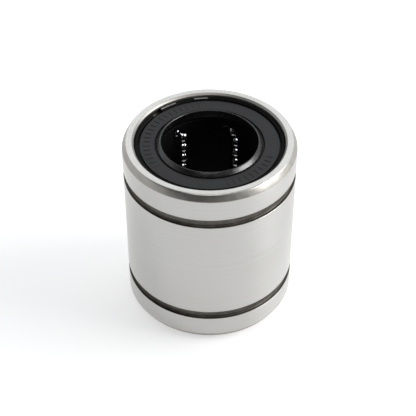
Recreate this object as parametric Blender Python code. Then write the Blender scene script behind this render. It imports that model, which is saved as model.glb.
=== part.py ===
"""Sealed linear ball bushing for a 16 mm shaft: sleeve, ball cage, six ball circuits and two end seals.

Units are metres. The origin is the centre of the lower end face and +Z runs along the bore.
"""

import math

import bmesh
import bpy
from mathutils import Matrix, Vector

MM = 0.001

# Sleeve
LENGTH = 31.5 * MM
OUTER_R = 14.0 * MM
END_FLAT_R = 13.4 * MM
END_CHAMFER_H = 1.1 * MM
GROOVE_NEAR = 4.75 * MM  # from each end face to the near wall of its outer snap-ring groove
GROOVE_FAR = 6.35 * MM
GROOVE_FLOOR_R = 13.5 * MM
SEAT_R = 12.1 * MM
SEAT_DEPTH = 2.3 * MM
MOUTH_CHAMFER = 0.23 * MM
RING_GROOVE_R = 12.27 * MM
RING_GROOVE_NEAR = 0.5 * MM  # from the end face
RING_GROOVE_FAR = 1.4 * MM
LAND_R = 10.2 * MM
RELIEF_R = 11.3 * MM
LAND_HALF_DEG = 6.5
RELIEF_CUTTER_INNER_R = 9.3 * MM  # inside the bore, so that the cut has no skin left over it
RELIEF_CUTTER_OVERRUN = 0.4 * MM
SLEEVE_STEPS = 60

# Ball circuits
CIRCUITS = 6
FIRST_LOAD_DEG = 60.0
BALL_R = 1.02 * MM
PITCH = 2.17 * MM
STRAIGHT_BALLS = 9
TURN_BALLS = 3
SHAFT_R = 8.0 * MM
LOAD_LINE_R = SHAFT_R + BALL_R
RETURN_LINE_R = 10.0 * MM
TURN_R = TURN_BALLS * PITCH / math.pi
HALF_STRAIGHT = STRAIGHT_BALLS * PITCH / 2
NECK_R = 0.35 * MM
ROD_R = 0.3 * MM
SHIFTS = tuple(share * MM for share in (0.5, -0.66, 0.0, 0.9, -0.3, -1.0))  # how far along its path each circuit rests

# Cage
CAGE_OUTER_R = 10.0 * MM
CAGE_INNER_R = 8.25 * MM
CAGE_END_GAP = 2.35 * MM
CHANNEL_R = 1.12 * MM
CHANNEL_WALL = 2.6 * MM
CAGE_STEPS = 60

# End seals, steel cores and wire rings, as depths below the end face
SEAL_STEPS = 48
CORE_INNER_R = 8.95 * MM
CORE_OUTER_R = 12.05 * MM
CORE_TOP = 1.75 * MM
CORE_BOTTOM = 2.25 * MM
FLANGE_R = 12.05 * MM
FLANGE_TOP = 1.4 * MM
FLANGE_BOTTOM = 1.7 * MM
FACE_OUTER_R = 11.2 * MM
FACE_DEPTH = 0.77 * MM
WIRE_R = 0.4 * MM
WIRE_LINE_R = 11.8 * MM
WIRE_DEPTH = 0.95 * MM
WIRE_GAP_DEG = (133.0, 143.0)

MID_Z = LENGTH / 2


def finish(name, colour, metallic, roughness):
    """A Principled material for one kind of surface."""
    material = bpy.data.materials.new(name)
    material.use_nodes = True
    shader = material.node_tree.nodes["Principled BSDF"]
    shader.inputs["Base Color"].default_value = (*colour, 1.0)
    shader.inputs["Metallic"].default_value = metallic
    shader.inputs["Roughness"].default_value = roughness
    material.diffuse_color = (*colour, 1.0)
    return material


def add(name, mesh, material, matrix=None):
    """An object of this mesh in the scene, smooth where the angle between faces is small."""
    obj = bpy.data.objects.new(name, mesh)
    bpy.context.scene.collection.objects.link(obj)
    if not mesh.materials:
        mesh.materials.append(material)
    if matrix is not None:
        obj.matrix_world = matrix
    mesh.polygons.foreach_set("use_smooth", [True] * len(mesh.polygons))
    return obj


def settle(obj):
    """Applies the object's modifiers and returns its mesh."""
    graph = bpy.context.evaluated_depsgraph_get()
    mesh = bpy.data.meshes.new_from_object(obj.evaluated_get(graph))
    old = obj.data
    obj.modifiers.clear()
    obj.data = mesh
    bpy.data.meshes.remove(old)
    return mesh


def mesh_of(name, bm):
    bmesh.ops.recalc_face_normals(bm, faces=bm.faces)
    mesh = bpy.data.meshes.new(name)
    bm.to_mesh(mesh)
    bm.free()
    mesh.polygons.foreach_set("use_smooth", [True] * len(mesh.polygons))
    mesh.set_sharp_from_angle(angle=math.radians(35))
    return mesh


def lathe_mesh(name, profile, steps):
    """A closed profile of (radius, height) turned once round Z."""
    bm = bmesh.new()
    points = [bm.verts.new((r, 0.0, z)) for r, z in profile]
    edges = [bm.edges.new((points[i - 1], points[i])) for i in range(len(points))]
    bmesh.ops.spin(
        bm,
        geom=points + edges,
        cent=(0, 0, 0),
        axis=(0, 0, 1),
        angle=2 * math.pi,
        steps=steps,
        use_merge=True,
    )
    return mesh_of(name, bm)


def bead_mesh(name, centres, neck_r, steps, rings):
    """Spheres on the Z axis joined by thin necks, turned as one profile that ends on the axis."""
    neck_angle = math.asin(neck_r / BALL_R)
    profile = [(0.0, centres[0] - BALL_R)]
    for index, centre in enumerate(centres):
        start = 0.0 if index == 0 else neck_angle
        end = math.pi if index == len(centres) - 1 else math.pi - neck_angle
        for ring in range(rings + 1):
            angle = start + (end - start) * ring / rings
            if 0.0 < angle < math.pi:
                profile.append((BALL_R * math.sin(angle), centre - BALL_R * math.cos(angle)))
    profile.append((0.0, centres[-1] + BALL_R))
    bm = bmesh.new()
    points = [bm.verts.new((r, 0.0, z)) for r, z in profile]
    edges = [bm.edges.new((points[i], points[i + 1])) for i in range(len(points) - 1)]
    bmesh.ops.spin(
        bm,
        geom=points + edges,
        cent=(0, 0, 0),
        axis=(0, 0, 1),
        angle=2 * math.pi,
        steps=steps,
        use_merge=True,
    )
    bmesh.ops.remove_doubles(bm, verts=bm.verts, dist=1e-7)
    return mesh_of(name, bm)


def mirrored(profile):
    """The same profile for the lower end."""
    return [(r, LENGTH - z) for r, z in profile]


def boolean(obj, other, operation):
    modifier = obj.modifiers.new(operation.title(), "BOOLEAN")
    modifier.operation = operation
    modifier.solver = "EXACT"
    modifier.object = other


def as_cutter(obj):
    obj.hide_render = True
    obj.display_type = "WIRE"
    return obj


def circuit_axes(index):
    """The load-line angle, and the circuit plane's outward normal, crossing direction and middle radius vector."""
    load = math.radians(FIRST_LOAD_DEG + 360.0 / CIRCUITS * index)
    cosine = (LOAD_LINE_R**2 + RETURN_LINE_R**2 - (2 * TURN_R) ** 2) / (2 * LOAD_LINE_R * RETURN_LINE_R)
    back = load + math.acos(cosine)
    a = Vector((LOAD_LINE_R * math.cos(load), LOAD_LINE_R * math.sin(load), 0))
    b = Vector((RETURN_LINE_R * math.cos(back), RETURN_LINE_R * math.sin(back), 0))
    across = (b - a).normalized()
    outward = across.cross(Vector((0, 0, 1)))
    return a, b, across, outward


def plane_matrix(across, outward, centre, turn=0.0):
    """A frame whose X runs across the circuit, Z along the bore and Y inwards, turned about the outward normal."""
    up = Vector((0, 0, 1))
    base = Matrix((across, -outward, up)).transposed().to_4x4()
    return Matrix.Translation(centre) @ Matrix.Rotation(turn, 4, outward) @ base


def sleeve():
    near, far = GROOVE_NEAR, GROOVE_FAR
    low_end = [
        (SEAT_R + MOUTH_CHAMFER, 0.0),
        (END_FLAT_R, 0.0),
        (OUTER_R, END_CHAMFER_H),
        (OUTER_R, near),
        (GROOVE_FLOOR_R, near),
        (GROOVE_FLOOR_R, far),
        (OUTER_R, far),
    ]
    low_bore = [
        (LAND_R, SEAT_DEPTH),
        (SEAT_R, SEAT_DEPTH),
        (SEAT_R, RING_GROOVE_FAR),
        (RING_GROOVE_R, RING_GROOVE_FAR),
        (RING_GROOVE_R, RING_GROOVE_NEAR),
        (SEAT_R, RING_GROOVE_NEAR),
        (SEAT_R, MOUTH_CHAMFER),
    ]
    profile = low_end + mirrored(low_end)[::-1] + mirrored(low_bore)[::-1] + low_bore
    body = add("outer_sleeve", lathe_mesh("outer_sleeve", profile, SLEEVE_STEPS), STEEL)
    for index in range(CIRCUITS):
        start = FIRST_LOAD_DEG + 360.0 / CIRCUITS * index + LAND_HALF_DEG
        sweep = 360.0 / CIRCUITS - 2 * LAND_HALF_DEG
        angles = [math.radians(start + sweep * i / 9) for i in range(10)]
        outer = [(RELIEF_R * math.cos(a), RELIEF_R * math.sin(a)) for a in angles]
        inner = [(RELIEF_CUTTER_INNER_R * math.cos(a), RELIEF_CUTTER_INNER_R * math.sin(a)) for a in reversed(angles)]
        bm = bmesh.new()
        low = SEAT_DEPTH - RELIEF_CUTTER_OVERRUN
        base = bm.faces.new([bm.verts.new((x, y, low)) for x, y in outer + inner])
        grown = bmesh.ops.extrude_face_region(bm, geom=[base])
        moved = [v for v in grown["geom"] if isinstance(v, bmesh.types.BMVert)]
        bmesh.ops.translate(bm, verts=moved, vec=(0, 0, LENGTH - 2 * low))
        cutter = add(f"relief_cutter_{index + 1}", mesh_of(f"relief_cutter_{index + 1}", bm), STEEL)
        boolean(body, as_cutter(cutter), "DIFFERENCE")
    return body


def channel_cutter(index):
    """A U-section swept round one circuit: half a circle inwards and straight walls outwards."""
    a, b, across, outward = circuit_axes(index)
    section = []
    for step in range(7):
        angle = math.pi * step / 6
        section.append((CHANNEL_R * math.cos(angle), -CHANNEL_R * math.sin(angle)))
    section += [(-CHANNEL_R, CHANNEL_WALL), (CHANNEL_R, CHANNEL_WALL)]
    stations = []
    for side, base in ((1, 0.0), (-1, math.pi)):
        for step in range(9):
            angle = base + math.pi * step / 8
            centre = Vector((TURN_R * math.cos(angle), side * HALF_STRAIGHT + TURN_R * math.sin(angle)))
            stations.append((centre, Vector((math.cos(angle), math.sin(angle)))))
    middle = (a + b) / 2 + Vector((0, 0, MID_Z))
    bm = bmesh.new()
    rings = []
    for centre, away in stations:
        ring = []
        for offset, height in section:
            flat = centre + away * offset
            ring.append(bm.verts.new(middle + across * flat.x + Vector((0, 0, flat.y)) + outward * height))
        rings.append(ring)
    for i, ring in enumerate(rings):
        after = rings[(i + 1) % len(rings)]
        for j in range(len(ring)):
            k = (j + 1) % len(ring)
            bm.faces.new((ring[j], ring[k], after[k], after[j]))
    name = f"channel_cutter_{index + 1}"
    return as_cutter(add(name, mesh_of(name, bm), RESIN))


def cage():
    low, high = CAGE_END_GAP, LENGTH - CAGE_END_GAP
    bevel = 0.25 * MM
    profile = [
        (CAGE_INNER_R + bevel, low),
        (CAGE_OUTER_R - bevel, low),
        (CAGE_OUTER_R, low + bevel),
        (CAGE_OUTER_R, high - bevel),
        (CAGE_OUTER_R - bevel, high),
        (CAGE_INNER_R + bevel, high),
        (CAGE_INNER_R, high - bevel),
        (CAGE_INNER_R, low + bevel),
    ]
    body = add("ball_cage", lathe_mesh("ball_cage", profile, CAGE_STEPS), RESIN)
    for index in range(CIRCUITS):
        boolean(body, channel_cutter(index), "DIFFERENCE")
    return body


def seals():
    def top(profile):
        return [(r * MM, LENGTH - depth * MM) for r, depth in profile]

    rubber = [
        (8.38, 2.2),
        (8.85, 2.2),
        (8.85, FLANGE_BOTTOM / MM),
        (FLANGE_R / MM, FLANGE_BOTTOM / MM),
        (FLANGE_R / MM, FLANGE_TOP / MM),
        (FACE_OUTER_R / MM, FLANGE_TOP / MM),
        (FACE_OUTER_R / MM, 0.87),
        (FACE_OUTER_R / MM - 0.1, FACE_DEPTH / MM),
        (8.78, FACE_DEPTH / MM),
        (8.68, 1.15),
        (8.36, 1.15),
        (8.25, 0.45),
        (8.1, 0.25),
        (7.85, 0.2),
        (7.75, 0.32),
        (8.05, 1.3),
    ]
    core = [
        (CORE_INNER_R / MM, CORE_BOTTOM / MM),
        (CORE_OUTER_R / MM, CORE_BOTTOM / MM),
        (CORE_OUTER_R / MM, CORE_TOP / MM),
        (CORE_INNER_R / MM, CORE_TOP / MM),
    ]
    for end, place in (("top", lambda p: p), ("bottom", mirrored)):
        add(f"{end}_seal", lathe_mesh(f"{end}_seal", place(top(rubber)), SEAL_STEPS), RUBBER)
        add(f"{end}_seal_core", lathe_mesh(f"{end}_seal_core", place(top(core)), SEAL_STEPS), CORE_STEEL)


def retaining_ring(name, depth):
    """A round wire bent into an open ring, with flat ends."""
    first, last = math.radians(WIRE_GAP_DEG[1]), math.radians(360 + WIRE_GAP_DEG[0])
    bm = bmesh.new()
    sides, steps = 8, 44
    section = []
    for i in range(sides):
        angle = 2 * math.pi * (i + 0.5) / sides
        spot = (WIRE_LINE_R + WIRE_R * math.cos(angle), 0, depth + WIRE_R * math.sin(angle))
        section.append(bm.verts.new(Matrix.Rotation(first, 3, "Z") @ Vector(spot)))
    start = bm.faces.new(section)
    bmesh.ops.spin(
        bm,
        geom=[start] + section + list(bm.edges),
        cent=(0, 0, 0),
        axis=(0, 0, 1),
        angle=last - first,
        steps=steps,
    )
    add(name, mesh_of(name, bm), BLACK_WIRE)


def turn_mesh():
    """Three balls of a turn joined by two rods, centred on the turn's axis, which is local Y."""
    spots = []
    for ball in range(TURN_BALLS):
        angle = math.pi * (ball + 0.5) / TURN_BALLS
        spots.append(Vector((-TURN_R * math.cos(angle), 0, TURN_R * math.sin(angle))))

    def solid(name, build):
        bm = bmesh.new()
        build(bm)
        return as_cutter(add(name, mesh_of(name, bm), BALL_STEEL))

    balls = [
        solid(
            f"turn_ball_{i + 1}",
            lambda bm, s=s: bmesh.ops.create_uvsphere(
                bm, u_segments=8, v_segments=5, radius=BALL_R, matrix=Matrix.Translation(s)
            ),
        )
        for i, s in enumerate(spots)
    ]
    rods = []
    for i in range(TURN_BALLS - 1):
        a, b = spots[i], spots[i + 1]
        tilt = Vector((0, 0, 1)).rotation_difference(b - a).to_matrix().to_4x4()
        place = Matrix.Translation((a + b) / 2) @ tilt
        rods.append(
            solid(
                f"turn_rod_{i + 1}",
                lambda bm, place=place, span=(b - a).length: bmesh.ops.create_cone(
                    bm, cap_ends=True, segments=6, radius1=ROD_R, radius2=ROD_R, depth=span * 0.6, matrix=place
                ),
            )
        )
    for other in balls[1:] + rods:
        boolean(balls[0], other, "UNION")
    mesh = settle(balls[0])
    mesh.name = "turn_balls"
    for helper in balls + rods:
        bpy.data.objects.remove(helper)
    mesh.set_sharp_from_angle(angle=math.radians(60))
    return mesh


def ball_trains():
    heights = [(i - (STRAIGHT_BALLS - 1) / 2) * PITCH for i in range(STRAIGHT_BALLS)]
    straight = bead_mesh("straight_balls", heights, NECK_R, 8, 5)
    turn = turn_mesh()
    for index in range(CIRCUITS):
        a, b, across, outward = circuit_axes(index)
        shift = SHIFTS[index]
        number = index + 1
        for name, line, move in (("load", a, shift), ("return", b, -shift)):
            place = Matrix.Translation(line + Vector((0, 0, MID_Z + move)))
            add(f"{name}_balls_{number}", straight, BALL_STEEL, place)
        for name, side, half in (("upper", 1, 0.0), ("lower", -1, math.pi)):
            centre = (a + b) / 2 + Vector((0, 0, MID_Z + side * HALF_STRAIGHT))
            place = plane_matrix(across, outward, centre, half - shift / TURN_R)
            add(f"{name}_turn_balls_{number}", turn, BALL_STEEL, place)


for old in list(bpy.data.objects):
    bpy.data.objects.remove(old)

STEEL = finish("ground bearing steel", (0.62, 0.62, 0.61), 1.0, 0.3)
BALL_STEEL = finish("polished ball steel", (0.72, 0.73, 0.74), 1.0, 0.08)
RESIN = finish("black cage resin", (0.02, 0.02, 0.022), 0.0, 0.5)
RUBBER = finish("dark seal rubber", (0.04, 0.04, 0.042), 0.0, 0.55)
CORE_STEEL = finish("seal core steel", (0.35, 0.35, 0.34), 1.0, 0.45)
BLACK_WIRE = finish("blackened spring wire", (0.03, 0.03, 0.032), 1.0, 0.35)

sleeve()
cage()
seals()
retaining_ring("top_retaining_ring", LENGTH - WIRE_DEPTH)
retaining_ring("bottom_retaining_ring", WIRE_DEPTH)
ball_trains()
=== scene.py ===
"""Looks of a sealed linear ball bushing: sleeve, cage, balls, rubber seals and wire rings."""

import logging
import math
from abc import ABC, abstractmethod
from collections.abc import Callable, Iterable, Sequence
from dataclasses import dataclass
from enum import Enum
from typing import Any

import bmesh
import bpy
from mathutils import Matrix, Vector


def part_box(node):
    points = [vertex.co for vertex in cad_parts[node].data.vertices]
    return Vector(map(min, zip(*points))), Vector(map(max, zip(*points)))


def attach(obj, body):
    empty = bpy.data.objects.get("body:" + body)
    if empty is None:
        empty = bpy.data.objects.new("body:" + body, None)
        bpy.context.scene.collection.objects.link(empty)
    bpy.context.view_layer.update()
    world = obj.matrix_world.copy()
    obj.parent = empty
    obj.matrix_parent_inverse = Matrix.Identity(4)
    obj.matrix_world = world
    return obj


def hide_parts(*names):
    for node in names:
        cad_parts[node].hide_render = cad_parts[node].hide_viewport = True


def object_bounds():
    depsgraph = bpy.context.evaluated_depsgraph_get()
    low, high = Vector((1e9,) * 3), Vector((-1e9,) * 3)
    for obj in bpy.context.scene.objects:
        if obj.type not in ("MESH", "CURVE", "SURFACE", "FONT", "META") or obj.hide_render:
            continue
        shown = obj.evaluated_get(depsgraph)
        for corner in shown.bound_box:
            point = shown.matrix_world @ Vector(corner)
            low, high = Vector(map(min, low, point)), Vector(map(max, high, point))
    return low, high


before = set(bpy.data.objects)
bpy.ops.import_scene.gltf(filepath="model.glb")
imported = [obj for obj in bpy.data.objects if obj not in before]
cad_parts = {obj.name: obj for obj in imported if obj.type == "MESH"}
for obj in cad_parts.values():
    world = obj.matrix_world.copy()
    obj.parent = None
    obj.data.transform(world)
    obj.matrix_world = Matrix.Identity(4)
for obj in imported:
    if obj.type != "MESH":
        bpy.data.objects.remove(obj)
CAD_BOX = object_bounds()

Tree = bpy.types.NodeTree
Node = bpy.types.Node
Socket = bpy.types.NodeSocket
Mesh = bpy.types.Mesh

LOG = logging.getLogger("bushing")
MM = 0.001
BASE_BODY = "housing"
CIRCUITS = 6
LENGTH = round((CAD_BOX[1] - CAD_BOX[0]).z / MM, 3)
MID_Z = LENGTH / 2
OUTER_R = round(CAD_BOX[1].x / MM, 3)
UP = Vector((0.0, 0.0, 1.0))
TURNED_SHARP_DEG = 32.0
CAGE_SHARP_DEG = 30.0
WIRE_SHARP_DEG = 40.0
NEVER_SHARP_DEG = 180.0
# The longest that a rounding may be, as a share of the runs beside it.
ROUNDING_SHARE = 0.45
# Where a noise pattern's low and high values mostly lie.
NOISE_SPAN = (0.3, 0.7)
# A quarter turn, which draws the shine out across the marks that run round the axis.
ACROSS_MARKS = 0.25
OIL_IOR = 1.47
RUBBER_IOR = 1.52
RESIN_IOR = 1.48


class End(Enum):
    """The two ends of the bushing, by the name that their nodes start with."""

    TOP = "top"
    BOTTOM = "bottom"


class Train(Enum):
    """The four runs of balls in a circuit: (node name, body name)."""

    LOAD = ("load_balls", "load_row")
    RETURN = ("return_balls", "return_row")
    UPPER = ("upper_turn_balls", "upper_turn")
    LOWER = ("lower_turn_balls", "lower_turn")


ROWS = (Train.LOAD, Train.RETURN)


# ---------------------------------------------------------------- node and colour helpers


def linear(code: str) -> tuple[float, float, float, float]:
    """Turns an sRGB hex colour into linear RGBA.

    Args:
        code: Six hex digits with a leading #.

    Returns:
        The linear colour with alpha 1.
    """
    parts = [int(code[i : i + 2], 16) / 255 for i in (1, 3, 5)]
    red, green, blue = (p / 12.92 if p <= 0.04045 else ((p + 0.055) / 1.055) ** 2.4 for p in parts)
    return red, green, blue, 1.0


def add_node(
    tree: Tree,
    kind: str,
    settings: dict[Any, Any] | None = None,
    links: dict[Any, Any] | None = None,
) -> Node:
    """Adds one node with its settings and links.

    Args:
        tree: The node tree that it goes into.
        kind: Blender's name for the node type.
        settings: Values by input name or index, or by attribute name.
        links: Output sockets by the input name or index that each feeds.

    Returns:
        The new node.
    """
    node = tree.nodes.new(kind)
    for key, value in (settings or {}).items():
        if isinstance(key, str) and hasattr(node, key):
            setattr(node, key, value)
        else:
            node.inputs[key].default_value = value
    for key, source in (links or {}).items():
        tree.links.new(source, node.inputs[key])
    return node


def add_noise(
    tree: Tree,
    place: Socket,
    size_mm: float | tuple[float, float, float],
    detail: float,
    roughness: float = 0.5,
) -> Socket:
    """Adds a noise pattern whose features have a real size.

    Args:
        tree: The node tree that it goes into.
        place: The position on the piece, in metres.
        size_mm: How wide its features are, the same every way or along x, y and z.
        detail: How many finer layers it has.
        roughness: How strong the finer layers are.

    Returns:
        The pattern's value, from 0 to 1.
    """
    scale = 1.0
    if isinstance(size_mm, tuple):
        stretch = {"Scale": tuple(1000 / size for size in size_mm)}
        place = add_node(tree, "ShaderNodeMapping", stretch, {"Vector": place}).outputs[0]
    else:
        scale = 1000 / size_mm
    settings = {"Scale": scale, "Detail": detail, "Roughness": roughness}
    return add_node(tree, "ShaderNodeTexNoise", settings, {"Vector": place}).outputs["Fac"]


def add_blend(
    tree: Tree, first: Socket, second: Socket, share: float
) -> Socket:
    """Blends two patterns.

    Args:
        tree: The node tree that it goes into.
        first: The first pattern.
        second: The second pattern.
        share: How much of the second one there is, from 0 to 1.

    Returns:
        The blended pattern.
    """
    return add_node(tree, "ShaderNodeMix", {"Factor": share}, {"A": first, "B": second}).outputs[0]


def add_tint(
    tree: Tree,
    pattern: Socket,
    dark: tuple[float, str],
    light: tuple[float, str],
) -> Socket:
    """Turns a pattern into a colour.

    Args:
        tree: The node tree that it goes into.
        pattern: The pattern.
        dark: The value at or under which it has the dark colour, and that sRGB hex colour.
        light: The value at or over which it has the light colour, and that sRGB hex colour.

    Returns:
        The colour.
    """
    ramp = add_node(tree, "ShaderNodeValToRGB", None, {"Fac": pattern})
    for element, (value, colour) in zip(ramp.color_ramp.elements, (dark, light)):
        element.position = value
        element.color = linear(colour)
    return ramp.outputs["Color"]


def add_spread(
    tree: Tree,
    pattern: Socket,
    lowest: float,
    highest: float,
    span: tuple[float, float] = NOISE_SPAN,
) -> Socket:
    """Spreads a pattern between two values, as for a roughness that varies.

    Args:
        tree: The node tree that it goes into.
        pattern: The pattern.
        lowest: The result where the pattern is low.
        highest: The result where it is high.
        span: The pattern values that stand for low and high.

    Returns:
        The spread value.
    """
    settings = {"From Min": span[0], "From Max": span[1], "To Min": lowest, "To Max": highest}
    return add_node(tree, "ShaderNodeMapRange", settings, {"Value": pattern}).outputs["Result"]


def add_relief(
    tree: Tree, pattern: Socket, strength: float, depth_mm: float
) -> Socket:
    """Turns a pattern into shallow relief.

    Args:
        tree: The node tree that it goes into.
        pattern: The pattern.
        strength: How much of the relief shows, from 0 to 1.
        depth_mm: How deep it is.

    Returns:
        The surface normal.
    """
    settings = {"Strength": strength, "Distance": depth_mm * MM}
    return add_node(tree, "ShaderNodeBump", settings, {"Height": pattern}).outputs["Normal"]


def add_turning(tree: Tree) -> Socket:
    """Adds the direction of marks that run round the bushing's axis.

    Args:
        tree: The node tree that it goes into.

    Returns:
        The tangent.
    """
    return add_node(tree, "ShaderNodeTangent", {"direction_type": "RADIAL", "axis": "Z"}).outputs["Tangent"]


def set_surface(
    tree: Tree,
    shader: Node,
    values: dict[str, Any],
    links: dict[str, Socket],
) -> None:
    """Sets a Principled node's inputs.

    Args:
        tree: The material's node tree.
        shader: Its Principled node.
        values: The value of each uniform input.
        links: The output that feeds each patterned input.
    """
    for name, value in values.items():
        shader.inputs[name].default_value = value
    for name, source in links.items():
        tree.links.new(source, shader.inputs[name])


# ---------------------------------------------------------------- finishes


@dataclass(frozen=True)
class Finish(ABC):
    """A real surface: what it is made of, how it was made, and how it answers light."""

    name: str

    @abstractmethod
    def dress(self, tree: Tree, shader: Node, place: Socket) -> None:
        """Builds the surface's nodes.

        Args:
            tree: The material's node tree.
            shader: Its Principled node.
            place: The position on the piece, in metres.
        """

    def make(self) -> bpy.types.Material:
        """Makes the material, or returns the one already made.

        Returns:
            The Blender material.
        """
        known = bpy.data.materials.get(self.name)
        if known is not None:
            return known
        material = bpy.data.materials.new(self.name)
        material.use_nodes = True
        tree = material.node_tree
        shader = tree.nodes["Principled BSDF"]
        coordinates = add_node(tree, "ShaderNodeTexCoord")
        self.dress(tree, shader, coordinates.outputs["Object"])
        return material


@dataclass(frozen=True)
class GroundSteel(Finish):
    """Hardened bearing steel, centreless ground round the axis and wiped with oil.

    The wheel leaves rings finer than a tenth of a millimetre, so a light is drawn out along the
    axis as a soft upright band. The rings are drawn 0.2 mm apart, because finer ones don't show.
    """

    name: str = "ground bearing steel"
    light: str = "#c2c1bf"
    dark: str = "#bbbab7"
    roughness: float = 0.3
    ring_mm: float = 0.2
    arc_mm: float = 24.0
    stain_mm: float = 9.0

    def dress(self, tree: Tree, shader: Node, place: Socket) -> None:
        """Builds the ground steel; see Finish.dress."""
        rings = add_noise(tree, place, (self.arc_mm, self.arc_mm, self.ring_mm), 4.0, 0.6)
        stain = add_noise(tree, place, self.stain_mm, 3.0)
        both = add_blend(tree, stain, rings, 0.55)
        values = {"Metallic": 1.0, "Anisotropic": 0.75, "Anisotropic Rotation": ACROSS_MARKS}
        links = {
            "Base Color": add_tint(tree, both, (0.36, self.dark), (0.64, self.light)),
            "Roughness": add_spread(tree, both, self.roughness - 0.04, self.roughness + 0.05),
            "Normal": add_relief(tree, rings, 0.05, 0.01),
            "Tangent": add_turning(tree),
        }
        set_surface(tree, shader, values, links)


@dataclass(frozen=True)
class TurnedSteel(Finish):
    """Bearing steel as it was turned before hardening, left unground in chamfers and grooves.

    The tool leaves rings about 0.16 mm apart and the furnace leaves a thin brown-grey film, so it
    reads darker and softer than the ground steel beside it.
    """

    name: str = "turned steel with hardening film"
    light: str = "#a3a09b"
    dark: str = "#908d88"
    roughness: float = 0.36
    ring_mm: float = 0.16
    arc_mm: float = 20.0
    patch_mm: float = 1.6

    def dress(self, tree: Tree, shader: Node, place: Socket) -> None:
        """Builds the turned steel; see Finish.dress."""
        rings = add_noise(tree, place, (self.arc_mm, self.arc_mm, self.ring_mm), 3.0)
        patch = add_noise(tree, place, self.patch_mm, 5.0, 0.6)
        both = add_blend(tree, patch, rings, 0.4)
        links = {
            "Base Color": add_tint(tree, both, (0.34, self.dark), (0.66, self.light)),
            "Roughness": add_spread(tree, patch, self.roughness - 0.03, self.roughness + 0.05),
            "Normal": add_relief(tree, rings, 0.1, 0.02),
        }
        set_surface(tree, shader, {"Metallic": 1.0}, links)


@dataclass(frozen=True)
class FacedSteel(Finish):
    """The sleeve's end faces: bearing steel face-ground in circles round the axis.

    The circles turn with the face, so the ring goes from bright to grey once or twice round. They
    are drawn 0.12 mm apart across the narrow face, under handling marks a few millimetres wide.
    """

    name: str = "face-ground bearing steel"
    light: str = "#d9d8d5"
    dark: str = "#c9c8c4"
    roughness: float = 0.27
    circle_mm: float = 0.12
    mark_mm: float = 2.38

    def dress(self, tree: Tree, shader: Node, place: Socket) -> None:
        """Builds the face-ground steel; see Finish.dress."""
        level = (1.0, 1.0, 0.0)
        flat = add_node(tree, "ShaderNodeVectorMath", {"operation": "MULTIPLY", 1: level}, {0: place})
        reach = add_node(tree, "ShaderNodeVectorMath", {"operation": "LENGTH"}, {0: flat.outputs["Vector"]})
        settings = {
            "noise_dimensions": "1D",
            "Scale": 1000 / self.circle_mm,
            "Detail": 3.0,
            "Roughness": 0.7,
        }
        turned = add_node(tree, "ShaderNodeTexNoise", settings, {"W": reach.outputs["Value"]})
        circles = turned.outputs["Fac"]
        marks = add_noise(tree, place, self.mark_mm, 4.0, 0.6)
        both = add_blend(tree, circles, marks, 0.45)
        values = {"Metallic": 1.0, "Anisotropic": 0.6, "Anisotropic Rotation": ACROSS_MARKS}
        links = {
            "Base Color": add_tint(tree, both, (0.36, self.dark), (0.64, self.light)),
            "Roughness": add_spread(tree, both, self.roughness - 0.04, self.roughness + 0.06),
            "Normal": add_relief(tree, circles, 0.15, 0.01),
            "Tangent": add_turning(tree),
        }
        set_surface(tree, shader, values, links)


@dataclass(frozen=True)
class PolishedBall(Finish):
    """Lapped bearing balls under a film of oil: mirror bright, with faint smears in the gloss."""

    name: str = "polished ball steel"
    colour: str = "#c6c7ca"
    smear_mm: float = 0.7

    def dress(self, tree: Tree, shader: Node, place: Socket) -> None:
        """Builds the ball steel; see Finish.dress."""
        smear = add_noise(tree, place, self.smear_mm, 2.0)
        values = {
            "Base Color": linear(self.colour),
            "Metallic": 1.0,
            "Coat Weight": 0.3,
            "Coat Roughness": 0.03,
            "Coat IOR": OIL_IOR,
        }
        set_surface(tree, shader, values, {"Roughness": add_spread(tree, smear, 0.05, 0.14, (0.35, 0.7))})


@dataclass(frozen=True)
class SealRubber(Finish):
    """Black nitrile rubber, compression moulded in a spark-eroded tool.

    The tool's grain makes a dull dark grey with a broad soft shine, and carbon and wax bloom leave
    faint paler clouds a few millimetres wide. The grain is drawn 0.14 mm wide, so that it shows.
    """

    name: str = "moulded nitrile rubber"
    light: str = "#29292b"
    dark: str = "#1b1b1c"
    roughness: float = 0.5
    grain_mm: float = 0.14
    cloud_mm: float = 3.2

    def dress(self, tree: Tree, shader: Node, place: Socket) -> None:
        """Builds the rubber; see Finish.dress."""
        grain = add_noise(tree, place, self.grain_mm, 3.0, 0.55)
        cloud = add_noise(tree, place, self.cloud_mm, 5.0, 0.6)
        both = add_blend(tree, cloud, grain, 0.3)
        links = {
            "Base Color": add_tint(tree, both, (0.35, self.dark), (0.66, self.light)),
            "Roughness": add_spread(tree, both, self.roughness - 0.07, self.roughness + 0.08),
            "Normal": add_relief(tree, grain, 0.25, 0.03),
        }
        set_surface(tree, shader, {"IOR": RUBBER_IOR, "Specular IOR Level": 0.3}, links)


@dataclass(frozen=True)
class LipRubber(Finish):
    """The same nitrile rubber where the tool was polished and grease has wetted it: the wiping lip.

    It is as dark as the face but shines, so the bead round the bore catches a soft streak of light.
    """

    name: str = "greased nitrile lip"
    colour: str = "#1d1d1e"
    roughness: float = 0.25
    smear_mm: float = 1.2

    def dress(self, tree: Tree, shader: Node, place: Socket) -> None:
        """Builds the lip's rubber; see Finish.dress."""
        smear = add_noise(tree, place, self.smear_mm, 3.0)
        links = {
            "Roughness": add_spread(tree, smear, self.roughness - 0.06, self.roughness + 0.1),
            "Normal": add_relief(tree, smear, 0.1, 0.02),
        }
        set_surface(tree, shader, {"Base Color": linear(self.colour), "IOR": RUBBER_IOR}, links)


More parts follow.
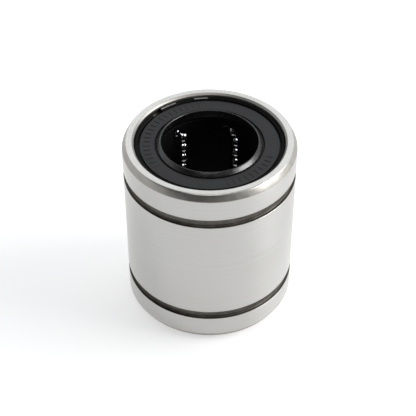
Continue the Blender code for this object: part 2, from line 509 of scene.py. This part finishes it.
@dataclass(frozen=True)
class CageResin(Finish):
    """Black acetal, injection moulded: a satin skin with long faint flow lines along the bore, coloured
    darker than the acetal as painted shade inside the bore.
    """

    name: str = "moulded black acetal"
    light: str = "#09090a"
    dark: str = "#050505"
    roughness: float = 0.5
    flow_mm: float = 0.5
    flow_length_mm: float = 11.0

    def dress(self, tree: Tree, shader: Node, place: Socket) -> None:
        """Builds the resin; see Finish.dress."""
        flow = add_noise(tree, place, (self.flow_mm, self.flow_mm, self.flow_length_mm), 3.0)
        links = {
            "Base Color": add_tint(tree, flow, (0.35, self.dark), (0.68, self.light)),
            "Roughness": add_spread(tree, flow, self.roughness - 0.06, self.roughness + 0.08),
            "Normal": add_relief(tree, flow, 0.15, 0.02),
        }
        set_surface(tree, shader, {"IOR": RESIN_IOR, "Specular IOR Level": 0.12}, links)


@dataclass(frozen=True)
class BlackWire(Finish):
    """Spring wire with a black oxide and oil, coloured darker still as painted shade in the gap where it
    sits: near black, with a narrow grey shine along its top.
    """

    name: str = "black oxide spring wire"
    light: str = "#0c0c0d"
    dark: str = "#060606"
    patch_mm: float = 0.8

    def dress(self, tree: Tree, shader: Node, place: Socket) -> None:
        """Builds the wire's oxide; see Finish.dress."""
        patch = add_noise(tree, place, self.patch_mm, 4.0, 0.6)
        links = {
            "Base Color": add_tint(tree, patch, (0.35, self.dark), (0.66, self.light)),
            "Roughness": add_spread(tree, patch, 0.5, 0.66),
            "Normal": add_relief(tree, patch, 0.15, 0.02),
        }
        set_surface(tree, shader, {"Specular IOR Level": 0.07}, links)


@dataclass(frozen=True)
class BlankedSteel(Finish):
    """Cold-rolled strip steel, blanked to a washer: a plain grey rolled skin with faint streaks."""

    name: str = "blanked strip steel"
    light: str = "#a5a3a0"
    dark: str = "#84827e"
    streak_mm: float = 0.3
    streak_length_mm: float = 8.3

    def dress(self, tree: Tree, shader: Node, place: Socket) -> None:
        """Builds the strip steel; see Finish.dress."""
        streak = add_noise(tree, place, (self.streak_length_mm, self.streak_mm, self.streak_mm), 3.0)
        links = {
            "Base Color": add_tint(tree, streak, (0.35, self.dark), (0.65, self.light)),
            "Roughness": add_spread(tree, streak, 0.34, 0.46),
            "Normal": add_relief(tree, streak, 0.15, 0.01),
        }
        set_surface(tree, shader, {"Metallic": 1.0}, links)


@dataclass(frozen=True)
class FloorPaper(Finish):
    """Matt white card, with a felt grain of about half a millimetre.

    It glows a little, so that it stays nearly white and its shadows stay soft.
    """

    name: str = "matt white card"
    light: str = "#f6f6f6"
    dark: str = "#f1f1f1"
    felt_mm: float = 0.5
    glow: float = 0.5

    def dress(self, tree: Tree, shader: Node, place: Socket) -> None:
        """Builds the card; see Finish.dress."""
        felt = add_noise(tree, place, self.felt_mm, 3.0)
        values = {
            "Roughness": 0.9,
            "Specular IOR Level": 0.1,
            "Emission Color": linear("#ffffff"),
            "Emission Strength": self.glow,
        }
        links = {"Base Color": add_tint(tree, felt, (0.3, self.dark), (0.7, self.light))}
        set_surface(tree, shader, values, links)


# ---------------------------------------------------------------- mesh helpers


@dataclass(frozen=True)
class Corner:
    """One corner of a lathe contour, in millimetres.

    Attributes:
        r: Radius from the axis.
        z: Height from the lower end face.
        round: Radius of the corner's rounding.
        zone: Which finish the run from this corner to the next one has.
        raceway: True where the radius follows the ball lands and reliefs.
    """

    r: float
    z: float
    round: float = 0.0
    zone: int = 0
    raceway: bool = False


def rounded(corners: Sequence[Corner], steps: int = 4) -> list[Corner]:
    """Rounds the corners of a closed contour.

    Args:
        corners: The contour's corners in order.
        steps: How many short runs each rounded corner gets.

    Returns:
        The contour with each rounded corner as a curve.
    """
    result: list[Corner] = []
    for index, corner in enumerate(corners):
        if corner.round <= 0:
            result.append(corner)
            continue
        here = Vector((corner.r, corner.z))
        before, after = corners[index - 1], corners[(index + 1) % len(corners)]
        back = Vector((before.r, before.z)) - here
        on = Vector((after.r, after.z)) - here
        reach = min(corner.round, back.length * ROUNDING_SHARE, on.length * ROUNDING_SHARE)
        start, end = here + back.normalized() * reach, here + on.normalized() * reach
        for step in range(steps + 1):
            t = step / steps
            spot = start * (1 - t) ** 2 + here * (2 * t * (1 - t)) + end * t**2
            zone = before.zone if t < 0.5 else corner.zone
            result.append(Corner(spot.x, spot.y, 0.0, zone, corner.raceway))
    return result


def turned_mesh(
    name: str, contour: Sequence[Corner], steps: int, raceway: Callable[[float], float] | None = None
) -> Mesh:
    """Turns a closed contour round the bore axis.

    Args:
        name: The mesh's name.
        contour: The contour, in millimetres.
        steps: How many faces go round.
        raceway: The radius in millimetres at an angle in degrees, for corners marked as raceway.

    Returns:
        A closed mesh in metres, smooth shaded, with material indices from the contour's zones.
    """
    bm = bmesh.new()
    rings: list[list[bmesh.types.BMVert]] = []
    for step in range(steps):
        degrees = 360 * step / steps
        angle = math.radians(degrees)
        ring = []
        for corner in contour:
            radius = raceway(degrees) if raceway and corner.raceway else corner.r
            spot = Vector((radius * math.cos(angle), radius * math.sin(angle), corner.z))
            ring.append(bm.verts.new(spot * MM))
        rings.append(ring)
    count = len(contour)
    for step, ring in enumerate(rings):
        after = rings[(step + 1) % steps]
        for i in range(count):
            j = (i + 1) % count
            face = bm.faces.new((ring[i], after[i], after[j], ring[j]))
            face.material_index = contour[i].zone
    return finished_mesh(name, bm, TURNED_SHARP_DEG)


def finished_mesh(name: str, bm: bmesh.types.BMesh, sharp_degrees: float) -> Mesh:
    """Turns a bmesh into a smooth-shaded mesh.

    Args:
        name: The mesh's name.
        bm: The bmesh, which is freed.
        sharp_degrees: Edges that turn by more than this stay sharp.

    Returns:
        The mesh.
    """
    bmesh.ops.recalc_face_normals(bm, faces=bm.faces)
    mesh = bpy.data.meshes.new(name)
    bm.to_mesh(mesh)
    bm.free()
    mesh.shade_smooth()
    mesh.set_sharp_from_angle(angle=math.radians(sharp_degrees))
    return mesh


def flipped(corners: Iterable[Corner]) -> list[Corner]:
    """Mirrors a contour to the other end.

    Args:
        corners: The contour in order.

    Returns:
        The mirrored contour, in the opposite order, with each run's zone kept.
    """
    listed = list(corners)
    mirrored = [
        Corner(corner.r, LENGTH - corner.z, corner.round, listed[index - 1].zone, corner.raceway)
        for index, corner in enumerate(listed)
    ]
    return mirrored[::-1]


def box_centre(node: str) -> Vector:
    """Finds the middle of a CAD node.

    Args:
        node: The node's name.

    Returns:
        The centre of its box, in millimetres.
    """
    low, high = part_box(node)
    return (low + high) / 2 / MM


def round_size(node: str) -> tuple[float, float, float]:
    """Measures a CAD node that is round about the bore axis.

    Args:
        node: The node's name.

    Returns:
        Its outer radius and its lower and upper heights, in millimetres.
    """
    low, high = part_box(node)
    return round(high.x / MM, 3), round(low.z / MM, 3), round(high.z / MM, 3)


def place_piece(
    name: str,
    mesh: Mesh,
    finishes: Sequence[Finish],
    body: str,
    node: str,
    matrix: Matrix | None = None,
) -> None:
    """Puts a piece in the scene on its body, in place of its CAD node.

    Args:
        name: The piece's name.
        mesh: Its mesh.
        finishes: Its finishes, by zone.
        body: The body that it rides on.
        node: The CAD node that it stands for.
        matrix: Where it goes, or None for the bushing's own axes.
    """
    piece = bpy.data.objects.new(name, mesh)
    bpy.context.scene.collection.objects.link(piece)
    if not mesh.materials:
        for finish in finishes:
            mesh.materials.append(finish.make())
    if matrix is not None:
        piece.matrix_world = matrix
    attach(piece, body)
    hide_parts(node)
    LOG.info("%s: %d faces on %s", name, len(mesh.polygons), body)


# ---------------------------------------------------------------- sub-assemblies


@dataclass
class Sleeve:
    """The hardened outer sleeve, with an outer ring groove and a seal seat near each end.

    Lengths are in millimetres, and the grooves and the seat are measured from the end face.
    """

    outer_r: float = OUTER_R
    end_flat_r: float = 13.4
    chamfer_h: float = 1.1
    groove_near: float = 4.75
    groove_far: float = 6.35
    groove_floor_r: float = 13.5
    seat_r: float = 12.1
    seat_depth: float = 2.3
    mouth_chamfer: float = 0.3
    ring_groove_r: float = 12.27
    ring_groove: tuple[float, float] = (0.66, 1.4)
    land_r: float = 10.2
    relief_r: float = 11.3
    land_half_deg: float = 6.5
    land_blend_deg: float = 1.5
    first_load_deg: float = 60.0
    steps: int = 360
    finishes: tuple[Finish, ...] = (
        GroundSteel(),
        TurnedSteel(),
        FacedSteel(),
        # Grooves: turned steel with its hardening film, made darker still as painted shade in the recess.
        TurnedSteel("turned groove with hardening film", "#6b6863", "#4b4844", 0.4),
        TurnedSteel("bored seal seat", "#9a9894", "#878581", 0.5),
    )

    def raceway(self, degrees: float) -> float:
        """Gives the bore's radius at an angle.

        Args:
            degrees: The angle round the bore.

        Returns:
            The land's or the relief's radius, in millimetres.
        """
        spacing = 360 / CIRCUITS
        away = abs((degrees - self.first_load_deg + spacing / 2) % spacing - spacing / 2)
        blend = min(1.0, max(0.0, (away - self.land_half_deg) / self.land_blend_deg))
        return self.land_r + (self.relief_r - self.land_r) * blend * blend * (3 - 2 * blend)

    def contour(self) -> list[Corner]:
        """Draws half of the section and mirrors it.

        Returns:
            The closed contour, rounded.
        """
        # The finish of the run after each corner, as its place in the tuple of finishes.
        ground, turned, faced, groove, bored = 0, 1, 2, 3, 4
        near, far = self.groove_near, self.groove_far
        outside = [
            Corner(self.seat_r + self.mouth_chamfer, 0.0, 0.06, faced),
            Corner(self.end_flat_r, 0.0, 0.2, turned),
            Corner(self.outer_r, self.chamfer_h, 0.12, ground),
            Corner(self.outer_r, near, 0.08, groove),
            Corner(self.groove_floor_r, near, 0.12, groove),
            Corner(self.groove_floor_r, far, 0.12, groove),
            Corner(self.outer_r, far, 0.08, ground),
        ]
        low, high = self.ring_groove
        inside = [
            Corner(self.land_r, self.seat_depth, 0.0, turned, True),
            Corner(self.seat_r, self.seat_depth, 0.1, turned),
            Corner(self.seat_r, high, 0.04, groove),
            Corner(self.ring_groove_r, high, 0.0, groove),
            Corner(self.ring_groove_r, low, 0.0, groove),
            Corner(self.seat_r, low, 0.04, bored),
            Corner(self.seat_r, self.mouth_chamfer, 0.04, bored),
        ]
        half = inside + outside
        return rounded(half + flipped(half))

    def build(self) -> None:
        """Builds the sleeve in place of its CAD node."""
        mesh = turned_mesh("sleeve", self.contour(), self.steps, self.raceway)
        place_piece("sleeve", mesh, self.finishes, BASE_BODY, "outer_sleeve")


@dataclass(frozen=True)
class Loop:
    """Where one circuit lies, in millimetres.

    Attributes:
        load: The point on its loaded row's line at mid length.
        back: The point on its return row's line at mid length.
        shift: How far its loaded row stands above mid length.
    """

    load: Vector
    back: Vector
    shift: float

    @property
    def middle(self) -> Vector:
        """The circuit's centre."""
        return (self.load + self.back) / 2

    @property
    def across(self) -> Vector:
        """Direction from the loaded row to the return row."""
        return (self.back - self.load).normalized()

    @property
    def outward(self) -> Vector:
        """Direction away from the bore, square to the circuit's plane."""
        return self.across.cross(UP)


@dataclass
class Circuits:
    """Closed loops of balls: a loaded row at the bore, a return row behind it and a turn at each end."""

    straight_balls: int = 9
    turn_balls: int = 3
    ball_detail: int = 4
    finish: Finish = PolishedBall()

    def loop(self, number: int) -> Loop:
        """Reads where a circuit lies from its two straight rows.

        Args:
            number: Which circuit, from 1.

        Returns:
            The circuit's place.
        """
        load, back = (box_centre(f"{train.value[0]}_{number}") for train in ROWS)
        shift = load.z - MID_Z
        load.z = MID_Z
        back.z = MID_Z
        return Loop(load, back, shift)

    @property
    def turn_r(self) -> float:
        """Radius of the turns."""
        first = self.loop(1)
        return (first.back - first.load).length / 2

    @property
    def pitch(self) -> float:
        """Distance between ball centres along the path."""
        return math.pi * self.turn_r / self.turn_balls

    @property
    def half_straight(self) -> float:
        """Half the length of a straight run."""
        return self.straight_balls * self.pitch / 2

    @property
    def ball_r(self) -> float:
        """Radius of a ball, from the length of a loaded row."""
        low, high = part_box(f"{Train.LOAD.value[0]}_1")
        return ((high - low).z / MM - (self.straight_balls - 1) * self.pitch) / 2

    def balls(self, name: str, centres: Sequence[Vector]) -> Mesh:
        """Makes one mesh of several balls.

        Args:
            name: The mesh's name.
            centres: Their centres in millimetres.

        Returns:
            The mesh.
        """
        bm = bmesh.new()
        radius = self.ball_r * MM
        for centre in centres:
            place = Matrix.Translation(centre * MM)
            bmesh.ops.create_icosphere(bm, subdivisions=self.ball_detail, radius=radius, matrix=place)
        return finished_mesh(name, bm, NEVER_SHARP_DEG)

    def row_place(self, loop: Loop, train: Train) -> Matrix:
        """Finds where a straight row goes.

        Args:
            loop: Its circuit's place.
            train: The loaded row or the return row.

        Returns:
            The row's place, in metres.
        """
        line, move = (loop.load, loop.shift) if train is Train.LOAD else (loop.back, -loop.shift)
        return Matrix.Translation((line + UP * move) * MM)

    def turn_place(self, loop: Loop, train: Train) -> Matrix:
        """Finds where a turn goes.

        Args:
            loop: Its circuit's place.
            train: The upper turn or the lower turn.

        Returns:
            The turn's place, in metres.
        """
        side = 1 if train is Train.UPPER else -1
        centre = loop.middle + UP * (side * self.half_straight)
        plane = Matrix((loop.across, -loop.outward, UP)).transposed().to_4x4()
        angle = (0.0 if side > 0 else math.pi) - loop.shift / self.turn_r
        return Matrix.Translation(centre * MM) @ Matrix.Rotation(angle, 4, loop.outward) @ plane

    def build(self) -> None:
        """Builds the four trains of each circuit in place of their CAD nodes."""
        half = (self.straight_balls - 1) / 2
        row = self.balls("row", [UP * ((i - half) * self.pitch) for i in range(self.straight_balls)])
        angles = [math.pi * (i + 0.5) / self.turn_balls for i in range(self.turn_balls)]
        turn = self.balls("turn", [Vector((-math.cos(a), 0, math.sin(a))) * self.turn_r for a in angles])
        for number in range(1, CIRCUITS + 1):
            loop = self.loop(number)
            for train in Train:
                straight = train in ROWS
                node, body = train.value
                place_piece(
                    f"{train.name.lower()}_train_{number}",
                    row if straight else turn,
                    (self.finish,),
                    f"circuit_{number}_{body}",
                    f"{node}_{number}",
                    self.row_place(loop, train) if straight else self.turn_place(loop, train),
                )


@dataclass
class Cage:
    """The moulded cage, with a U-shaped channel cut for each circuit."""

    circuits: Circuits
    inner_r: float = 8.25
    edge: float = 0.05
    channel_r: float = 1.12
    channel_wall: float = 2.6
    channel_steps: int = 16
    turn_steps: int = 20
    steps: int = 180
    finish: Finish = CageResin()

    def channel(self, number: int) -> bpy.types.Object:
        """Makes the cutter of one channel.

        Args:
            number: Which circuit, from 1.

        Returns:
            The cutter: a U-section swept round the circuit's path.
        """
        loop = self.circuits.loop(number)
        turn_r, half = self.circuits.turn_r, self.circuits.half_straight
        angles = [math.pi * i / self.channel_steps for i in range(self.channel_steps + 1)]
        section = [(self.channel_r * math.cos(a), -self.channel_r * math.sin(a)) for a in angles]
        section += [(-self.channel_r, self.channel_wall), (self.channel_r, self.channel_wall)]
        bm = bmesh.new()
        rings = []
        for side, base in ((1, 0.0), (-1, math.pi)):
            for step in range(self.turn_steps + 1):
                angle = base + math.pi * step / self.turn_steps
                away = Vector((math.cos(angle), math.sin(angle)))
                centre = Vector((0, side * half)) + away * turn_r
                ring = []
                for offset, height in section:
                    flat = centre + away * offset
                    spot = loop.middle + loop.across * flat.x + UP * flat.y + loop.outward * height
                    ring.append(bm.verts.new(spot * MM))
                rings.append(ring)
        for i, ring in enumerate(rings):
            after = rings[(i + 1) % len(rings)]
            for j in range(len(ring)):
                k = (j + 1) % len(ring)
                bm.faces.new((ring[j], ring[k], after[k], after[j]))
        cutter = bpy.data.objects.new(f"channel_{number}", finished_mesh("channel", bm, CAGE_SHARP_DEG))
        bpy.context.scene.collection.objects.link(cutter)
        return cutter

    def build(self) -> None:
        """Builds the cage in place of its CAD node."""
        outer_r, low, high = round_size("ball_cage")
        spots = ((self.inner_r, low), (outer_r, low), (outer_r, high), (self.inner_r, high))
        corners = [Corner(radius, height, self.edge) for radius, height in spots]
        blank = bpy.data.objects.new("cage_blank", turned_mesh("cage_blank", rounded(corners), self.steps))
        bpy.context.scene.collection.objects.link(blank)
        cutters = [self.channel(number) for number in range(1, CIRCUITS + 1)]
        for cutter in cutters:
            modifier = blank.modifiers.new("Channel", "BOOLEAN")
            modifier.operation = "DIFFERENCE"
            modifier.solver = "EXACT"
            modifier.object = cutter
        graph = bpy.context.evaluated_depsgraph_get()
        mesh = bpy.data.meshes.new_from_object(blank.evaluated_get(graph))
        mesh.name = "cage"
        mesh.materials.clear()
        mesh.shade_smooth()
        mesh.set_sharp_from_angle(angle=math.radians(CAGE_SHARP_DEG))
        for helper in (blank, *cutters):
            bpy.data.objects.remove(helper)
        place_piece("cage", mesh, (self.finish,), BASE_BODY, "ball_cage")


@dataclass
class EndSeal:
    """A rubber seal on a steel washer, held by an open wire ring. Depths are from the end face."""

    end: End
    face_r: tuple[float, float] = (8.78, 11.2)
    face_depth: float = 0.77
    flange_r: float = 12.05
    flange: tuple[float, float] = (1.4, 1.7)
    core_inner_r: float = 8.95
    core_edge: float = 0.06
    back_r: tuple[float, float] = (8.38, 8.85)
    back_depth: float = 2.2
    moat_r: tuple[float, float] = (8.5, 8.68)
    moat_depth: float = 1.15
    lip_knee_depth: float = 0.8
    lip_shoulder: tuple[float, float] = (7.98, 0.24)
    lip_crest: tuple[float, float] = (7.84, 0.2)
    lip_edge: tuple[float, float] = (7.76, 0.3)
    throat_neck: tuple[float, float] = (8.05, 1.3)
    wire_r: float = 0.4
    wire_line_r: float = 11.8
    wire_depth: float = 0.95
    wire_gap_deg: tuple[float, float] = (133.0, 143.0)
    wire_dome_rad: float = 0.0035
    wire_dome_share: float = 0.75
    wire_sides: int = 24
    wire_steps: int = 220
    # Arcs where the wire's crest is bare steel: a painted glint, not wear.
    glint_arcs_deg: tuple[tuple[float, float], ...] = ((91.0, 102.0), (118.0, 132.0))
    rib_arcs: tuple[tuple[float, float], ...] = ((100.0, 214.0), (286.0, 344.0))
    rib_pitch_deg: float = 6.0
    rib_r: tuple[float, float] = (9.55, 10.65)
    rib_width: float = 0.26
    rib_height: float = 0.07
    rib_sink: float = 0.05
    rib_taper: float = 0.05
    rib_shoulder: float = 0.02
    rib_shoulder_share: float = 0.4
    steps: int = 240
    rubber: Finish = SealRubber()
    lip: Finish = LipRubber()
    # The throat is the same rubber, dry and in shade; it takes the cage's plain dark satin as painted
    # shade.
    throat: Finish = CageResin("nitrile throat with painted shade")
    # Bare steel on the crest, standing in for a glint: a painted highlight.
    glint_steel: Finish = BlankedSteel("bare wire strip for painted glint")
    washer: Finish = BlankedSteel()
    wire: Finish = BlackWire()

    def height(self, depth: float) -> float:
        """Height of a point this far below the end face."""
        return LENGTH - depth if self.end is End.TOP else depth

    def rubber_contour(self) -> list[Corner]:
        """Draws the rubber's section.

        Returns:
            The closed contour, rounded.
        """
        low, high = self.flange[1], self.flange[0]
        # The throat zone takes the near-black throat finish, as painted shade.
        face, lip, throat = 0, 1, 2
        # Radius, depth, rounding and finish of each corner.
        runs = [
            (self.back_r[0], self.back_depth, 0.08, throat),
            (self.back_r[1], self.back_depth, 0.08, throat),
            (self.back_r[1], low, 0.0, face),
            (self.flange_r, low, 0.05, face),
            (self.flange_r, high, 0.05, face),
            (self.face_r[1], high, 0.0, face),
            (self.face_r[1], self.face_depth, 0.12, face),
            (self.face_r[0], self.face_depth, 0.08, face),
            (self.moat_r[1], self.moat_depth, 0.06, face),
            (self.moat_r[0], self.moat_depth, 0.06, lip),
            (self.moat_r[0], self.lip_knee_depth, 0.1, lip),
            (*self.lip_shoulder, 0.12, lip),
            (*self.lip_crest, 0.06, lip),
            (*self.lip_edge, 0.05, throat),
            (*self.throat_neck, 0.1, throat),
        ]
        return rounded([Corner(r, self.height(depth), curve, zone) for r, depth, curve, zone in runs])

    def add_ribs(self, mesh: Mesh) -> None:
        """Moulds plain radial ribs on the seal's face.

        Args:
            mesh: The rubber's mesh, which they are added to.
        """
        bm = bmesh.new()
        bm.from_mesh(mesh)
        top, foot = self.face_depth - self.rib_height, self.face_depth + self.rib_sink
        shoulder = top + self.rib_shoulder
        layers = ((foot, 0.0), (shoulder, self.rib_taper * self.rib_shoulder_share), (top, self.rib_taper))
        for start, stop in self.rib_arcs:
            for k in range(int((stop - start) / self.rib_pitch_deg) + 1):
                turn = Matrix.Rotation(math.radians(start + k * self.rib_pitch_deg), 4, "Z")
                verts = []
                for depth, inset in layers:
                    half = self.rib_width / 2 - inset
                    inner, outer = self.rib_r[0] + inset, self.rib_r[1] - inset
                    corners = ((inner, -half), (outer, -half), (outer, half), (inner, half))
                    spots = [turn @ (Vector((x, y, self.height(depth))) * MM) for x, y in corners]
                    verts.append([bm.verts.new(spot) for spot in spots])
                faces = [bm.faces.new(verts[2]), bm.faces.new(verts[0][::-1])]
                for low, high in zip(verts, verts[1:]):
                    for i in range(4):
                        j = (i + 1) % 4
                        faces.append(bm.faces.new((low[i], low[j], high[j], high[i])))
                bmesh.ops.recalc_face_normals(bm, faces=faces)
        bm.to_mesh(mesh)
        bm.free()
        mesh.shade_smooth()
        mesh.set_sharp_from_angle(angle=math.radians(TURNED_SHARP_DEG))

    def wire_mesh(self) -> Mesh:
        """Sweeps the wire's round section along its open ring.

        Returns:
            The ring's mesh, with slightly domed ends.
        """
        first, last = math.radians(self.wire_gap_deg[1]), math.radians(360 + self.wire_gap_deg[0])
        level = self.height(self.wire_depth)
        sides, steps = self.wire_sides, self.wire_steps
        stations = [(first - self.wire_dome_rad, self.wire_dome_share)]
        stations += [(first + (last - first) * i / steps, 1.0) for i in range(steps + 1)]
        stations.append((last + self.wire_dome_rad, self.wire_dome_share))
        bm = bmesh.new()
        rings = []
        for angle, share in stations:
            ring = []
            for side in range(sides):
                around = 2 * math.pi * side / sides
                reach = self.wire_line_r + share * self.wire_r * math.cos(around)
                rise = level + share * self.wire_r * math.sin(around)
                spot = Vector((reach * math.cos(angle), reach * math.sin(angle), rise))
                ring.append(bm.verts.new(spot * MM))
            rings.append(ring)
        quarter = sides // 4 if self.end is End.TOP else 3 * sides // 4
        crest = range(quarter, quarter + 2)
        # Crest faces within the glint arcs take bare steel, as a painted highlight.
        for (angle, _), ring, after in zip(stations, rings, rings[1:]):
            glinting = any(low < math.degrees(angle) - 360 < high for low, high in self.glint_arcs_deg)
            for i in range(sides):
                j = (i + 1) % sides
                face = bm.faces.new((ring[i], ring[j], after[j], after[i]))
                face.material_index = 1 if glinting and i in crest else 0
        bm.faces.new(rings[0][::-1])
        bm.faces.new(rings[-1])
        return finished_mesh("wire", bm, WIRE_SHARP_DEG)

    def build(self) -> None:
        """Builds the rubber, the washer and the wire in place of their CAD nodes."""
        end = self.end.value
        rubber = turned_mesh(f"{end}_rubber", self.rubber_contour(), self.steps)
        self.add_ribs(rubber)
        rubbers = (self.rubber, self.lip, self.throat)
        place_piece(f"{end}_rubber", rubber, rubbers, BASE_BODY, f"{end}_seal")
        outer, low, high = round_size(f"{end}_seal_core")
        spots = ((self.core_inner_r, low), (outer, low), (outer, high), (self.core_inner_r, high))
        ring = rounded([Corner(radius, height, self.core_edge) for radius, height in spots])
        washer = turned_mesh(f"{end}_washer", ring, self.steps)
        place_piece(f"{end}_washer", washer, (self.washer,), BASE_BODY, f"{end}_seal_core")
        wires, node = (self.wire, self.glint_steel), f"{end}_retaining_ring"
        place_piece(f"{end}_wire", self.wire_mesh(), wires, BASE_BODY, node)


# ---------------------------------------------------------------- studio


def add_sky(tree: Tree, colour: str, strength: float) -> Socket:
    """Adds an even light to the room.

    Args:
        tree: The world's node tree.
        colour: Its sRGB hex colour.
        strength: How bright it is.

    Returns:
        The light.
    """
    settings = {"Color": linear(colour), "Strength": strength}
    return add_node(tree, "ShaderNodeBackground", settings).outputs[0]


def add_choice(
    tree: Tree,
    share: Socket,
    first: Socket,
    second: Socket,
) -> Socket:
    """Mixes two lights.

    Args:
        tree: The world's node tree.
        share: How much of the second one there is.
        first: The first light.
        second: The second light.

    Returns:
        The mixed light.
    """
    return add_node(tree, "ShaderNodeMixShader", None, {0: share, 1: first, 2: second}).outputs[0]


@dataclass(frozen=True)
class Softbox:
    """A square softbox aimed at the bushing's middle, in metres and watts."""

    name: str
    place: tuple[float, float, float]
    size: float
    power: float
    gloss_only: bool = False
    aim: tuple[float, float, float] = (0.0, 0.0, 0.015)

    def build(self) -> None:
        """Hangs the light."""
        data = bpy.data.lights.new(self.name, "AREA")
        data.shape = "SQUARE"
        data.size = self.size
        data.energy = self.power
        light = bpy.data.objects.new(self.name, data)
        bpy.context.scene.collection.objects.link(light)
        light.location = self.place
        ahead = Vector(self.aim) - light.location
        light.rotation_euler = ahead.to_track_quat("-Z", "Y").to_euler()
        light.visible_camera = False
        light.visible_diffuse = not self.gloss_only


@dataclass
class Studio:
    """A pale floor, softboxes from the right and above, and a room that is pale but for a dark patch.

    The dark patch stands above and in front, where it gives the chamfer and the flat faces their shade.
    """

    floor_half: float = 1.2
    softboxes: tuple[Softbox, ...] = (
        Softbox("key", (0.42, 0.0, 0.34), 0.3, 1.3),
        Softbox("rim", (0.44, -0.1, 0.24), 0.26, 2.1, gloss_only=True),
        Softbox("overhead", (0.0, -0.2, 0.45), 0.22, 0.62, gloss_only=True),
    )
    room: str = "#f4f6f8"
    room_strength: float = 1.22
    front: str = "#28282a"
    front_strength: float = 1.0
    front_toward: tuple[float, float, float] = (0.0, -0.6, 0.8)
    front_edge: tuple[float, float] = (0.3, 0.72)
    backdrop: str = "#fdfdfd"
    floor_finish: Finish = FloorPaper()

    def floor(self) -> None:
        """Lays the floor."""
        bm = bmesh.new()
        bmesh.ops.create_grid(bm, x_segments=8, y_segments=8, size=self.floor_half)
        mesh = bpy.data.meshes.new("floor")
        bm.to_mesh(mesh)
        bm.free()
        mesh.materials.append(self.floor_finish.make())
        floor = bpy.data.objects.new("floor", mesh)
        bpy.context.scene.collection.objects.link(floor)

    def surroundings(self) -> None:
        """Sets the room's light: pale all round, with a soft-edged dark patch above and in front."""
        world = bpy.data.worlds.new("room")
        bpy.context.scene.world = world
        world.use_nodes = True
        tree = world.node_tree
        tree.nodes.clear()
        direction = add_node(tree, "ShaderNodeTexCoord").outputs["Generated"]
        toward = tuple(Vector(self.front_toward).normalized())
        compare = {"operation": "DOT_PRODUCT", 1: toward}
        facing = add_node(tree, "ShaderNodeVectorMath", compare, {0: direction}).outputs["Value"]
        edge = {
            "interpolation_type": "SMOOTHSTEP",
            "From Min": self.front_edge[0],
            "From Max": self.front_edge[1],
        }
        share = add_node(tree, "ShaderNodeMapRange", edge, {"Value": facing}).outputs["Result"]
        pale = add_sky(tree, self.room, self.room_strength)
        dark = add_sky(tree, self.front, self.front_strength)
        lit = add_choice(tree, share, pale, dark)
        seen = add_sky(tree, self.backdrop, 1.0)
        camera_ray = add_node(tree, "ShaderNodeLightPath").outputs["Is Camera Ray"]
        both = add_choice(tree, camera_ray, lit, seen)
        add_node(tree, "ShaderNodeOutputWorld", None, {"Surface": both})

    def build(self) -> None:
        """Builds the floor, the room and the softboxes."""
        self.floor()
        self.surroundings()
        for softbox in self.softboxes:
            softbox.build()
        bpy.context.scene.view_settings.view_transform = "Standard"


@dataclass
class Camera:
    """The camera, above and in front of the bushing, looking down on its open end."""

    place_mm: tuple[float, float, float] = (0.0, -144.59, 147.20)
    pitch_deg: float = 42.05
    yaw_deg: float = -0.107
    lens: float = 100.8
    sensor: float = 36.0
    clip_start: float = 0.005

    def build(self) -> None:
        """Makes the camera and puts it in charge of the scene."""
        data = bpy.data.cameras.new("camera")
        data.lens = self.lens
        data.sensor_width = self.sensor
        data.clip_start = self.clip_start
        camera = bpy.data.objects.new("camera", data)
        bpy.context.scene.collection.objects.link(camera)
        pitch, yaw = math.radians(self.pitch_deg), math.radians(self.yaw_deg)
        ahead = Vector((math.sin(yaw) * math.cos(pitch), math.cos(yaw) * math.cos(pitch), -math.sin(pitch)))
        camera.location = Vector(self.place_mm) * MM
        camera.rotation_euler = ahead.to_track_quat("-Z", "Y").to_euler()
        bpy.context.scene.camera = camera


def main() -> None:
    """Builds the bushing, then the studio and the camera."""
    logging.basicConfig(level=logging.INFO, format="%(name)s: %(message)s")
    Sleeve().build()
    circuits = Circuits()
    Cage(circuits).build()
    circuits.build()
    for end in End:
        EndSeal(end).build()
    Studio().build()
    Camera().build()
    bpy.context.view_layer.update()


if __name__ == "__main__":
    main()
